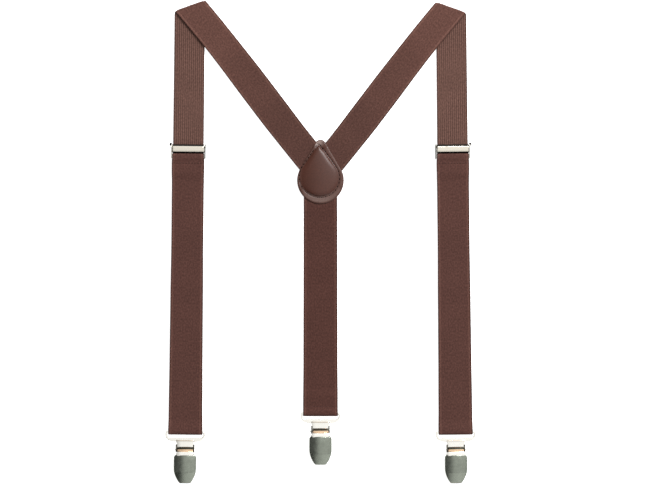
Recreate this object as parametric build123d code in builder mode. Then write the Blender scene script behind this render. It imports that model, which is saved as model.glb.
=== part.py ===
"""Y-back clip suspenders laid out flat, with the two front straps folded over at the shoulders.

Millimetres. The object lies on z = 0 with its face up: +Y runs from the clips towards the shoulders,
+X to the right, and the plane x = 0 is its plane of symmetry.
"""

from build123d import *
import math
import os

# ---------------------------------------------------------------- driving dimensions
gap = 0.1  # between faces that lie on each other

# webbing
web = 1.2  # thickness
shoulder_width = 28.8
run_top_width = 30.4  # the doubled front strap, at the adjuster
run_bottom_width = 31.8  # and at the clip
back_top_width = 31.3
back_bottom_width = 32.8

# how the front straps lie: each leans outwards towards its clip
strap_x = 126.3  # from the middle to a strap's centre line, at y = 0
strap_lean = 0.6  # degrees

# heights of the layers above the table
floor_z = 0.1  # webbing that lies on the table
under_z = 0.9  # the layer that runs through the adjuster
front_z = under_z + web + gap  # the layer that lies on it
tail_z = front_z
shoulder_z = 2.9  # the diagonal, where it has folded over its own strap

# shoulder fold
fold_y = 222.8  # where the crease meets the strap's centre line
fold_x = strap_x - fold_y * math.tan(math.radians(strap_lean))
diagonal_slope = 51.85  # degrees below level, from the shoulder to the patch
strap_rise = 90 - strap_lean
crease_slope = (strap_rise - diagonal_slope) / 2  # a flat fold halves the turn
fold_outer = (shoulder_z + web - under_z) / 2
fold_inner = fold_outer - web
fold_mid_z = under_z + fold_outer
crease_to_strap = crease_slope + strap_lean

# leather patch
patch_y = 58.4  # centre of its round end
patch_r = 22.0
apex_y = 92.05
apex_r = 5.2
leather = 1.2
dome_r = 18.0
dome_apex_y = 91.4
dome_apex_r = 0.5
dome_top = 6.6
dome_sphere = 120.0
dome_y = 61.0
flange_z = 3.8
lining = 1.3  # leather over the padding
web_end_y = 53.1  # the diagonals stop here, inside the patch
web_join = 0.3  # half the gap between the two diagonals
patch_web_z = leather + gap
stitch = (2.4, 0.6, 0.28)
stitch_pitch = 3.7
stitch_line = 19.3  # radius of the stitching round the round end

# adjuster, along the strap
cheek_in = 15.6
cheek_out = 16.5
cheek_low, cheek_high = 79.0, 93.0
cheek_top = 5.2
plate = 0.8
lever_pin_y, lever_pin_z = 90.6, 4.0
lever_pin_r = 0.75
lever_pin_half = 17.2
running = 0.05  # radial clearance of a lever on its pin
lever_r = 1.3
lever_half = 15.0
lever_end = 84.5
tooth_tip_z = under_z + web + gap
tooth_pitch = 1.8
tooth_count = 16
bar_y, bar_z = 81.2, 3.9
bar_width = 2.6

# sewn end of the front strap, round the adjuster's lower bar
sewn_mid_y = 82.2
sewn_outer = bar_z - tail_z
sewn_inner = sewn_outer - web
sewn_tail_y = 66.5
sewn_end_y = 58.0
sewn_seam_y = 74.9
shoulder_end_y = 75.0  # where the shoulder web passes into the under run

# clips, measured from the ring's bar, which the webbing goes round
front_clip_y = -180.1
back_clip_y = -162.5
ring_bar_z = 2.8
sheet = 1.0  # thickness of the clip's stamped steel
ring_z = ring_bar_z - sheet / 2
ring_half = 18.45
slot_half = 16.6
bar_half = 1.2
slot_low = -5.2
slot_corner = 0.15
ring_low = -9.4
neck_half = 8.9
loop_inner, loop_outer = 1.5, 2.7
clip_pin_y, clip_pin_z = -16.9, 3.4
clip_pin_r = 0.75
clip_pin_half = 10.0
ear_in = 7.9
ear_low, ear_high = -19.5, -12.0
ear_top = 5.5
roll_r = 2.2
roll_half = 7.6
jaw_half = 10.7
jaw_shoulder_y, jaw_full_y, jaw_straight_y, jaw_tip_y = -21.9, -23.8, -36.6, -48.9
jaw_tip_half = 5.2
tray_inset = 0.8  # the back jaw stays this far inside the shield's outline
jaw_z = 4.8
jaw_bend_y = -38.5
jaw_tip_z = 1.4
insert_half = 8.2
insert_high, insert_low = -26.0, -44.0
insert_z = 1.9
ridge_pitch = 2.6
ridge_count = 6
loop_end_y = 15.1  # above the ring's bar, where the clip loop passes into the runs
back_tail = 13.5
back_seam = 6.4

os.makedirs("parts", exist_ok=True)


def save(name, piece):
    """Write one finished piece, labelled with its own name."""
    piece.label = name
    export_step(piece, f"parts/{name}.step")


# ---------------------------------------------------------------- planes
right_strap = Plane(
    origin=(strap_x, 0, 0),
    x_dir=(math.cos(math.radians(strap_lean)), math.sin(math.radians(strap_lean)), 0),
    z_dir=(0, 0, 1),
)
right_clip = Plane(right_strap.from_local_coords((0, front_clip_y, 0)), right_strap.x_dir, (0, 0, 1))
back_clip = Plane((0, back_clip_y, 0), (1, 0, 0), (0, 0, 1))


def section(base, x=0.0):
    """The upright plane along a strap: its x is the strap's length and its y is height."""
    return Plane(origin=base.from_local_coords((x, 0, 0)), x_dir=base.y_dir, z_dir=base.x_dir)


def strip(points, thickness=web):
    """The outline of webbing whose underside follows the points (length, height)."""
    top = [(along, height + thickness) for along, height in reversed(points)]
    return Polyline(*points, *top, close=True)


def half_ring(at_y, at_z, inner, outer, towards):
    """Webbing turning back round a bar: the half of a ring on one side (1 up the strap, -1 down)."""
    with Locations((at_y, at_z)):
        Circle(outer)
        Circle(inner, mode=Mode.SUBTRACT)
    with Locations((at_y - towards * outer, at_z)):
        Rectangle(2 * outer, 2.2 * outer, mode=Mode.SUBTRACT)


# ---------------------------------------------------------------- patch
def teardrop(round_r, point_y, point_r):
    """Outline of the patch, or of its padded middle: a round end drawn out to a point."""
    with Locations((0, patch_y)):
        Circle(round_r)
    with Locations((0, point_y)):
        Circle(point_r)
    make_hull()


with BuildPart() as patch_back_leather:
    with BuildSketch():
        teardrop(patch_r, apex_y, apex_r)
    extrude(amount=leather)
save("patch_back_leather", patch_back_leather.part)


def crowned(inset, low):
    """The padded middle, crowned like a shallow dome, with its surface set in by the inset."""
    with BuildPart() as body:
        with BuildSketch(Plane.XY.offset(low)):
            teardrop(dome_r - inset, dome_apex_y - 2.4 * inset, dome_apex_r)
        extrude(amount=dome_top)
        with Locations((0, dome_y, dome_top - inset - dome_sphere)):
            Sphere(dome_sphere, mode=Mode.INTERSECT)
    return body.part


patch_padding = crowned(lining + gap, patch_web_z + web + gap)
padding_room = crowned(lining, patch_web_z + web)
save("patch_padding", patch_padding)

# ---------------------------------------------------------------- shoulder web
diagonal_dir = Vector(
    -math.cos(math.radians(diagonal_slope)), -math.sin(math.radians(diagonal_slope)), 0
)
crease_out = Vector(math.sin(math.radians(crease_slope)), math.cos(math.radians(crease_slope)), 0)
crease_centre = Vector(fold_x, fold_y, 0)
fold_axis_point = crease_centre - crease_out * fold_outer
diagonal_section = Plane(
    origin=crease_centre, x_dir=diagonal_dir, z_dir=diagonal_dir.cross(Vector(0, 0, 1))
)
diagonal_heights = [
    (-22, shoulder_z),
    (42, shoulder_z),
    (72, floor_z),
    (145, floor_z),
    (167, patch_web_z),
    (215, patch_web_z),
]

with BuildPart() as diagonal:
    with BuildSketch(diagonal_section):
        with BuildLine():
            strip(diagonal_heights)
        make_face()
    extrude(amount=shoulder_width / 2, both=True)
    split(bisect_by=Plane(fold_axis_point, z_dir=crease_out), keep=Keep.BOTTOM)
    split(bisect_by=Plane((web_join, 0, 0), z_dir=(1, 0, 0)), keep=Keep.TOP)
    split(bisect_by=Plane((0, web_end_y, 0), z_dir=(0, 1, 0)), keep=Keep.TOP)

crease_half = shoulder_width / 2 / math.cos(math.radians(crease_to_strap))

with BuildPart() as shoulder_web:
    with BuildSketch(right_strap.offset(under_z)):
        with Locations((0, shoulder_end_y)):
            Rectangle(shoulder_width, fold_y, align=(Align.CENTER, Align.MIN))
    extrude(amount=web)
    split(bisect_by=Plane(fold_axis_point, z_dir=crease_out), keep=Keep.BOTTOM)
    with BuildSketch(
        Plane(origin=fold_axis_point, x_dir=crease_out, z_dir=crease_out.cross(Vector(0, 0, 1)))
    ):
        half_ring(0, fold_mid_z, fold_inner, fold_outer, 1)
    extrude(amount=crease_half, both=True)
    add(diagonal.part)

# ---------------------------------------------------------------- back web and its clip loop
back_heights = [
    (web_end_y - 1, patch_web_z),
    (38, patch_web_z),
    (22, floor_z),
    (back_clip_y + 25, floor_z),
    (back_clip_y + back_tail + 2, floor_z + web + gap),
    (back_clip_y + 5.2, floor_z + web + gap),
    (back_clip_y + 1.4, ring_bar_z + loop_inner),
    (back_clip_y, ring_bar_z + loop_inner),
]

with BuildPart() as back_web:
    with BuildSketch(section(Plane.XY)):
        half_ring(back_clip_y, ring_bar_z, loop_inner, loop_outer, -1)
        with BuildLine():
            strip(back_heights)
        make_face()
        with BuildLine():
            strip([(back_clip_y, floor_z), (back_clip_y + back_tail, floor_z)])
        make_face()
    extrude(amount=back_bottom_width / 2, both=True)
    with BuildSketch():
        with BuildLine():
            Polyline(
                (-back_top_width / 2, patch_y),
                (back_top_width / 2, patch_y),
                (back_bottom_width / 2, back_clip_y - loop_outer),
                (-back_bottom_width / 2, back_clip_y - loop_outer),
                close=True,
            )
        make_face()
    extrude(amount=dome_top, mode=Mode.INTERSECT)
save("back_web", back_web.part)

# ---------------------------------------------------------------- front of the patch
with BuildPart() as patch_front_leather:
    with BuildSketch(Plane.XY.offset(leather + gap / 2)):
        teardrop(patch_r, apex_y, apex_r)
    extrude(amount=flange_z - leather - gap / 2)
    add(crowned(0, flange_z - gap))
    add(padding_room, mode=Mode.SUBTRACT)
    # channels for the three ends of webbing
    for side in (1, -1):
        channel_dir = Vector(side * diagonal_dir.X, diagonal_dir.Y, 0)
        with BuildSketch(Plane((side * fold_x, fold_y, 0), channel_dir, (0, 0, 1)).offset(leather)):
            with Locations((100, 0)):
                Rectangle(240, shoulder_width + 2 * gap)
        extrude(amount=web + 2 * gap, mode=Mode.SUBTRACT)
    with BuildSketch(Plane.XY.offset(leather)):
        with Locations((0, patch_y)):
            Rectangle(back_top_width + 1, 200, align=(Align.CENTER, Align.MAX))
    extrude(amount=web + 2 * gap, mode=Mode.SUBTRACT)
save("patch_front_leather", patch_front_leather.part)

with BuildSketch() as stitch_outline:
    teardrop(stitch_line, apex_y + 0.6, apex_r - 3.0)
stitch_path = stitch_outline.sketch.faces()[0].outer_wire()
patch_stitches = round(stitch_path.length / stitch_pitch)


def stitch_place(part_of_path, height):
    """A stitch's place along the outline, lying along it."""
    here = stitch_path @ part_of_path
    return Plane((here.X, here.Y, height), stitch_path % part_of_path, (0, 0, 1)).location


with BuildPart() as patch_stitching:
    with Locations([stitch_place(i / patch_stitches, flange_z + gap / 2) for i in range(patch_stitches)]):
        Box(*stitch, align=(Align.CENTER, Align.CENTER, Align.MIN))
save("patch_stitching", patch_stitching.part)


def seam(base, along, height, width):
    """A straight row of stitches across a strap."""
    count = int((width - 4) / stitch_pitch * 1.5)
    with BuildPart() as row:
        with BuildSketch(base.offset(height + gap / 4)):
            with Locations((0, along)):
                with GridLocations((width - 4) / (count - 1), 1, count, 1):
                    Rectangle(stitch[0] * 0.6, stitch[1])
        extrude(amount=stitch[2])
    return row.part


save(
    "back_loop_stitching",
    seam(Plane.XY, back_clip_y + back_seam, floor_z + 2 * web + gap, back_bottom_width),
)

# ---------------------------------------------------------------- runs of the doubled front strap
clip_loop_high = front_clip_y + loop_end_y


def straight_run(low, high, low_width, high_width, height):
    """A flat length of the right-hand strap."""
    with BuildPart() as run:
        with BuildSketch(right_strap.offset(height)):
            with BuildLine():
                Polyline(
                    (-high_width / 2, high),
                    (high_width / 2, high),
                    (low_width / 2, low),
                    (-low_width / 2, low),
                    close=True,
                )
            make_face()
        extrude(amount=web)
    return run.part


under_run = straight_run(
    clip_loop_high + gap, shoulder_end_y, run_bottom_width - 0.6, shoulder_width, under_z
)
front_run = straight_run(
    clip_loop_high, sewn_end_y - gap, run_bottom_width, run_top_width, front_z
)

with BuildPart() as clip_loop:
    with BuildSketch(section(right_clip)):
        half_ring(0, ring_bar_z, loop_inner, loop_outer, -1)
        with BuildLine():
            strip([(0, floor_z), (4, floor_z), (11.5, under_z), (loop_end_y, under_z)])
        make_face()
        with BuildLine():
            strip(
                [
                    (0, ring_bar_z + loop_inner),
                    (2.5, ring_bar_z + loop_inner),
                    (12, front_z),
                    (loop_end_y, front_z),
                ]
            )
        make_face()
    extrude(amount=run_bottom_width / 2, both=True)

with BuildPart() as adjuster_loop:
    with BuildSketch(section(right_strap)):
        half_ring(sewn_mid_y, bar_z, sewn_inner, sewn_outer, 1)
        with BuildLine():
            strip([(sewn_tail_y, tail_z), (sewn_mid_y, tail_z)])
        make_face()
        with BuildLine():
            strip(
                [
                    (sewn_end_y, front_z),
                    (sewn_end_y + 1, front_z),
                    (sewn_tail_y - 0.6, tail_z + web + gap),
                    (bar_y - 4.6, tail_z + web + gap),
                    (bar_y - 1.6, bar_z + sewn_inner),
                    (sewn_mid_y, bar_z + sewn_inner),
                ]
            )
        make_face()
    extrude(amount=run_top_width / 2, both=True)

end_stitching = seam(right_strap, sewn_seam_y, tail_z + 2 * web + gap, run_top_width)

# ---------------------------------------------------------------- adjuster
with BuildPart() as adjuster_frame:
    # two cheeks, joined under the webbing by a plate and above it by the bar that holds the sewn end
    for cheek in (-1, 1):
        with BuildSketch(section(right_strap, cheek * (cheek_in + cheek_out) / 2)):
            with Locations(((cheek_low + cheek_high) / 2, 0)):
                Rectangle(cheek_high - cheek_low, cheek_top, align=(Align.CENTER, Align.MIN))
        extrude(amount=(cheek_out - cheek_in) / 2, both=True)
    across = Axis(right_strap.origin, right_strap.x_dir)
    fillet(adjuster_frame.edges().filter_by(across).group_by(Axis.Z)[-1], radius=1.8)
    with BuildSketch(right_strap):
        with Locations((0, (lever_end + cheek_high) / 2)):
            Rectangle(2 * cheek_out, cheek_high - lever_end - 0.6)
    extrude(amount=plate)
    with BuildSketch(right_strap.offset(bar_z - plate / 2)):
        with Locations((0, bar_y)):
            Rectangle(2 * cheek_out, bar_width)
    extrude(amount=plate)
    with BuildSketch(section(right_strap)):
        with Locations((lever_pin_y, lever_pin_z)):
            Circle(lever_pin_r)
    extrude(amount=cheek_out + 1, both=True, mode=Mode.SUBTRACT)

with BuildPart() as adjuster_pin:
    with BuildSketch(section(right_strap)):
        with Locations((lever_pin_y, lever_pin_z)):
            Circle(lever_pin_r)
    extrude(amount=lever_pin_half, both=True)

with BuildPart() as adjuster_lever:
    with BuildSketch(section(right_strap)):
        with Locations((lever_pin_y, lever_pin_z)):
            Circle(lever_r)
        with BuildLine():
            Polyline(
                (lever_pin_y, lever_pin_z + lever_r),
                (lever_end, lever_pin_z + lever_r - 0.2),
                (lever_end, lever_pin_z + lever_r - 0.2 - plate),
                (lever_pin_y, lever_pin_z + lever_r - plate),
                close=True,
            )
        make_face()
    extrude(amount=lever_half, both=True)
    # teeth that bite the webbing
    with BuildSketch(right_strap.offset(tooth_tip_z)):
        with Locations((0, lever_pin_y)):
            with GridLocations(tooth_pitch, 1, tooth_count, 1):
                Rectangle(tooth_pitch / 2, 0.6)
    extrude(amount=lever_r)
    with BuildSketch(section(right_strap)):
        with Locations((lever_pin_y, lever_pin_z)):
            Circle(lever_pin_r + running)
    extrude(amount=lever_half + 1, both=True, mode=Mode.SUBTRACT)


# ---------------------------------------------------------------- clip
def clip_outline(half, high, shoulder, straight, tip_half, tip):
    """Shield outline of a clip's jaw: straight sides that curve in to a blunt tip."""
    Polyline((0, high), (half - 1.2, high), (half, shoulder), (half, straight))
    Spline(
        (half, straight),
        ((half + tip_half) / 2 + 0.8, (straight + tip) / 2 - 0.4),
        (tip_half, tip),
        tangents=((0, -1), (-0.75, -1)),
    )
    Line((tip_half, tip), (0, tip))
    mirror(about=Plane.YZ)


def clip_frame(base):
    """Back half of a clip: a ring for the webbing, a neck that steps down, two ears and the back jaw."""
    with BuildPart() as frame:
        with BuildSketch(base.offset(ring_z)):
            with BuildLine():
                Line((0, bar_half), (ring_half - 2.4, bar_half))
                RadiusArc((ring_half - 2.4, bar_half), (ring_half, bar_half - 2.4), 2.4)
                Line((ring_half, bar_half - 2.4), (ring_half, -3.2))
                ThreePointArc((ring_half, -3.2), (16.4, -7.0), (10.2, ring_low))
                Line((10.2, ring_low), (0, ring_low))
                mirror(about=Plane.YZ)
            make_face()
            with Locations((0, (slot_low - bar_half) / 2)):
                RectangleRounded(2 * slot_half, -bar_half - slot_low, slot_corner, mode=Mode.SUBTRACT)
        extrude(amount=sheet)
        with BuildSketch(section(base)):
            with BuildLine():
                Polyline(
                    (ring_low + 1.0, ring_z + sheet),
                    (ring_low + 0.4, ring_z + sheet),
                    (ear_high + 0.6, sheet),
                    (ear_low, sheet),
                    (ear_low, 0),
                    (ear_high + 0.2, 0),
                    (ring_low, ring_z),
                    (ring_low + 1.0, ring_z),
                    close=True,
                )
            make_face()
        extrude(amount=neck_half, both=True)
        with BuildSketch(base):
            with BuildLine():
                clip_outline(
                    jaw_half - tray_inset,
                    ear_low + tray_inset,
                    jaw_full_y,
                    jaw_straight_y,
                    jaw_tip_half - tray_inset,
                    jaw_tip_y + tray_inset,
                )
            make_face()
        extrude(amount=sheet)
        for side in (-1, 1):
            with BuildSketch(section(base, side * (ear_in + neck_half) / 2)):
                with Locations(((ear_low + ear_high) / 2, 0)):
                    Rectangle(ear_high - ear_low, clip_pin_z, align=(Align.CENTER, Align.MIN))
                with Locations((clip_pin_y, clip_pin_z)):
                    Circle(ear_top - clip_pin_z)
            extrude(amount=(neck_half - ear_in) / 2, both=True)
        # pressed ridges that the cloth is held against
        with BuildSketch(base.offset(sheet)):
            with Locations((0, (insert_high + insert_low) / 2)):
                with GridLocations(1, ridge_pitch, 1, ridge_count):
                    Rectangle(2 * insert_half - 2, 0.8)
        extrude(amount=0.4)
        with BuildSketch(section(base)):
            with Locations((clip_pin_y, clip_pin_z)):
                Circle(clip_pin_r)
        extrude(amount=neck_half + 1, both=True, mode=Mode.SUBTRACT)
    return frame.part


def clip_jaw(base):
    """Front half of a clip: a roll on the pin and the shield that snaps down over the cloth."""
    with BuildPart() as jaw:
        with BuildSketch(section(base)):
            with BuildLine():
                Polyline(
                    (jaw_shoulder_y, jaw_z),
                    (jaw_shoulder_y, jaw_z + sheet),
                    (jaw_bend_y, jaw_z + sheet),
                    (jaw_tip_y, jaw_tip_z + sheet),
                    (jaw_tip_y, jaw_tip_z),
                    (jaw_bend_y, jaw_z),
                    close=True,
                )
            make_face()
        extrude(amount=jaw_half + 1, both=True)
        with BuildSketch(base):
            with BuildLine():
                clip_outline(
                    jaw_half, jaw_shoulder_y, jaw_full_y, jaw_straight_y, jaw_tip_half, jaw_tip_y
                )
            make_face()
        extrude(amount=2 * jaw_z, mode=Mode.INTERSECT)
        with BuildSketch(section(base)):
            with Locations((clip_pin_y, clip_pin_z)):
                Circle(roll_r)
            with BuildLine():
                Polyline(
                    (clip_pin_y, clip_pin_z + roll_r),
                    (jaw_shoulder_y - 0.4, jaw_z + sheet),
                    (jaw_shoulder_y - 0.4, jaw_z),
                    (clip_pin_y - 1.2, clip_pin_z + 0.6),
                    close=True,
                )
            make_face()
        extrude(amount=roll_half, both=True)
        with BuildSketch(section(base)):
            with Locations((clip_pin_y, clip_pin_z)):
                Circle(clip_pin_r + running)
        extrude(amount=jaw_half, both=True, mode=Mode.SUBTRACT)
    return jaw.part


def clip_pin(base):
    """The pin that a jaw turns on."""
    with BuildPart() as pin:
        with BuildSketch(section(base)):
            with Locations((clip_pin_y, clip_pin_z)):
                Circle(clip_pin_r)
        extrude(amount=clip_pin_half, both=True)
    return pin.part


def jaw_insert(base):
    """Moulded grip pad under the shield, with ridges that press the cloth."""
    slope = (jaw_z - jaw_tip_z) / (jaw_bend_y - jaw_tip_y)
    end_top = jaw_z - gap - (jaw_bend_y - insert_low) * slope
    with BuildPart() as insert:
        with BuildSketch(section(base)):
            with BuildLine():
                Polyline(
                    (insert_high, jaw_z - gap),
                    (jaw_bend_y, jaw_z - gap),
                    (insert_low, end_top),
                    (insert_low, insert_z),
                    (insert_high, insert_z),
                    close=True,
                )
            make_face()
            with Locations(((insert_high + insert_low) / 2, insert_z)):
                with GridLocations(ridge_pitch, 1, ridge_count, 1):
                    Rectangle(0.9, 0.9, rotation=45, mode=Mode.SUBTRACT)
        extrude(amount=insert_half, both=True)
    return insert.part


# ---------------------------------------------------------------- write the rest, mirrored for the left
right_pieces = {
    "shoulder_web": shoulder_web.part,
    "under_run": under_run,
    "front_run": front_run,
    "clip_loop": clip_loop.part,
    "adjuster_loop": adjuster_loop.part,
    "end_stitching": end_stitching,
    "adjuster_frame": adjuster_frame.part,
    "adjuster_pin": adjuster_pin.part,
    "adjuster_lever": adjuster_lever.part,
    "clip_frame": clip_frame(right_clip),
    "clip_jaw": clip_jaw(right_clip),
    "clip_pin": clip_pin(right_clip),
    "clip_insert": jaw_insert(right_clip),
}
for name, piece in right_pieces.items():
    save(f"left_{name}", mirror(piece, about=Plane.YZ))
    save(f"right_{name}", piece)

save("back_clip_frame", clip_frame(back_clip))
save("back_clip_jaw", clip_jaw(back_clip))
save("back_clip_pin", clip_pin(back_clip))
save("back_clip_insert", jaw_insert(back_clip))
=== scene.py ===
"""Y-back clip suspenders laid out flat: the pieces that show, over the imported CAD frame.

Metres. The object lies on z = 0 with its face up: +Y runs from the clips towards the shoulders. The
right-hand strap is built and the left-hand one is its mirror image. Along a front strap, y is measured up
its own centre line.
"""

import math

import bmesh
import bpy
import numpy as np
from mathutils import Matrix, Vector


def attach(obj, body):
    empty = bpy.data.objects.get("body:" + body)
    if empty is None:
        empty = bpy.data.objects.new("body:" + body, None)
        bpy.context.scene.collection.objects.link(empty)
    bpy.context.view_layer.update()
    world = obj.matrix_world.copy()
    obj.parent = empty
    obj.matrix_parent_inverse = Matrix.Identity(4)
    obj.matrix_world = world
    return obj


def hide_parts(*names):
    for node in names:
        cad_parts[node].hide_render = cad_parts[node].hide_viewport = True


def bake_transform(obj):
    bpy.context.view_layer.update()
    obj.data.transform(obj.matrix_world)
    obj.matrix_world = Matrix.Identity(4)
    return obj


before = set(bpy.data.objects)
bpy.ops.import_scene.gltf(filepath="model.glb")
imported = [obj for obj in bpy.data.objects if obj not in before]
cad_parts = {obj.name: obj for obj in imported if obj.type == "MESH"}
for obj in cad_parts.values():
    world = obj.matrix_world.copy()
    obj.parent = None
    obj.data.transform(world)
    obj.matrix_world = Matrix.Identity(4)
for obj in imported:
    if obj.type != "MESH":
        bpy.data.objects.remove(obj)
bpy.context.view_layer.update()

# ---------------------------------------------------------------- sizes
WEB = 0.0012  # thickness of the webbing
GAP = 0.00002  # between one length of a strap and the next
RUN_MID_Z = 0.0015  # middle of the webbing under the front strap
SHOULDER_WIDTH, RUN_WIDTH, BACK_WIDTH = 0.0290, 0.0304, 0.0320
SHOULDER_WIDTHS = [  # by the length along the strip: a little wider half way down the diagonal
    (0.050, 0.0292),
    (0.200, 0.0288),
    (0.263, 0.0286),
    (0.328, 0.0299),
    (0.353, 0.0299),
    (0.388, 0.0291),
    (0.450, 0.0290),
]
RUN_WIDTHS = [  # by y: it spreads below the adjuster's cheeks and towards the clip
    (-0.190, 0.0324),
    (-0.150, 0.0319),
    (-0.110, 0.0314),
    (-0.055, 0.0310),
    (0.000, 0.0303),
    (0.050, 0.0304),
    (0.075, 0.0309),
    (0.079, 0.0304),
    (0.100, 0.0304),
]
BACK_WIDTHS = [(-0.170, 0.0330), (-0.150, 0.0329), (-0.110, 0.0324), (0.000, 0.0320), (0.070, 0.0316)]
WARP_PITCH, WEFT_PITCH = 0.00072, 0.0006  # of the weave on the webbing's face
RIBS = 15  # along the back of the webbing
RIB_DEPTH = 0.00016
SELVEDGE = 0.13  # of half the width, from the edge to the line woven beside it

STRAP_X = 0.1263
STRAP_LEAN = math.radians(0.6)

FOLD_Y = {1: 0.2228, -1: 0.2245}  # by side: the left strap is folded over a little higher up
CREASE_SLOPE = math.radians(19.6)
DIAGONAL_SLOPE = math.radians(51.85)  # on average: it leaves the crease a little flatter than this
FOLD_R = 0.0010  # of the middle of the webbing
FOLD_OUTER = 0.0016  # from the fold's line to the outside of the webbing
FOLD_MID_Z = 0.0025
FOLD_CORNER = 0.0011  # how far the fold draws in at its ends
DIAGONAL_SWING = [  # how far it bends back, by its length
    (-0.1, 0.0),
    (0.02, 0.0),
    (0.19, 0.0053),
    (0.4, 0.0053),
]

FRONT_CLIP_Y, BACK_CLIP_Y = -0.1801, -0.1625  # of the bars that the straps go round
RING_BAR_Z = 0.0028
LOOP_R = 0.0021
UNDER_TOP_Y, UNDER_END_Y = 0.075, -0.165

SEWN_MID_Y, SEWN_MID_Z, SEWN_R = 0.0822, 0.0039, 0.0011
SEWN_TAIL_Y = 0.0665
SEWN_SEAM_Y = 0.0749
BACK_SEAM_Y = BACK_CLIP_Y + 0.0064

PATCH_Y, PATCH_R, APEX_Y, APEX_R = 0.0584, 0.0222, 0.09205, 0.0052  # round end and point of the leathers
DOME_R, DOME_MIDDLE_Y, DOME_APEX_Y, DOME_APEX_R = 0.0179, 0.0612, 0.0914, 0.0005
DOME_SHIFT, DOME_LEAN = -0.0010, -0.022  # the padding sits a little to the left, its point more so
DOME_TOP, DOME_Y = 0.0066, 0.0610
CROWN_ACROSS, CROWN_ALONG = 0.062, 0.200  # radii of the padded middle's crown
DOME_SHOULDER = 0.0042  # width of the slope round it
PAD_IN = 0.0014  # from the foot of the padded middle to the edge of the felt
STITCH_OUT = 0.0011  # from the foot of the padded middle
STITCH_PITCH, STITCH_LENGTH, THREAD_R = 0.0038, 0.0022, 0.00035
SEAM_PITCH, SEAM_LENGTH = 0.0026, 0.0017
HOLE_R = 0.00078
LEATHER = 0.0012
WEB_END_Y = 0.0531  # where the webbing ends inside the patch
WEB_JOIN = 0.0003  # from the middle to where the two diagonals are cut off

SIDES = {"left": -1, "right": 1}


# ---------------------------------------------------------------- shader helpers
def node(tree, kind, inputs=None, **settings):
    """A shader node. An input given as a socket is linked, and anything else is set on the node."""
    made = tree.nodes.new("ShaderNode" + kind)
    for key, value in settings.items():
        setattr(made, key, value)
    for key, value in (inputs or {}).items():
        if isinstance(value, bpy.types.NodeSocket):
            tree.links.new(value, made.inputs[key])
        else:
            made.inputs[key].default_value = value
    return made


def math_node(tree, operation, first, second=0.0, third=0.0):
    return node(tree, "Math", {0: first, 1: second, 2: third}, operation=operation).outputs[0]


def ramp(tree, factor, stops):
    """A colour ramp through the (place, colour) stops."""
    made = node(tree, "ValToRGB", {"Fac": factor})
    elements = made.color_ramp.elements
    while len(elements) < len(stops):
        elements.new(0.5)
    for element, (place, colour) in zip(elements, stops):
        element.position = place
        element.color = (*colour, 1.0)
    return made.outputs["Color"]


def mix(tree, factor, first, second, how="MIX"):
    made = node(tree, "Mix", {0: factor, 6: first, 7: second}, data_type="RGBA", blend_type=how)
    return made.outputs[2]


def tint(tree, colour, by):
    return mix(tree, 1.0, colour, by, "MULTIPLY")


def grey(value):
    return (value, value, value)


def rgba(colour, scale=1.0):
    return (*[c * scale for c in colour], 1.0)


def new_material(name, **surface):
    """A material with only its surface shader, and that shader's constants."""
    made = bpy.data.materials.new(name)
    made.use_nodes = True
    shader = made.node_tree.nodes["Principled BSDF"]
    for key, value in surface.items():
        shader.inputs[key.replace("_", " ")].default_value = value
    return made, made.node_tree, shader


def finish_surface(tree, shader, colour, roughness, height, depth, strength=1.0):
    """Links the colour, roughness and relief of a material to its shader."""
    bump = node(tree, "Bump", {"Height": height, "Distance": depth, "Strength": strength})
    tree.links.new(colour, shader.inputs["Base Color"])
    tree.links.new(roughness, shader.inputs["Roughness"])
    tree.links.new(bump.outputs["Normal"], shader.inputs["Normal"])


def object_place(tree):
    return node(tree, "TexCoord").outputs["Object"]


def noise(tree, vector, scale, detail=3.0, roughness=0.55):
    inputs = {"Vector": vector, "Scale": scale, "Detail": detail, "Roughness": roughness}
    return node(tree, "TexNoise", inputs).outputs["Fac"]


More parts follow.
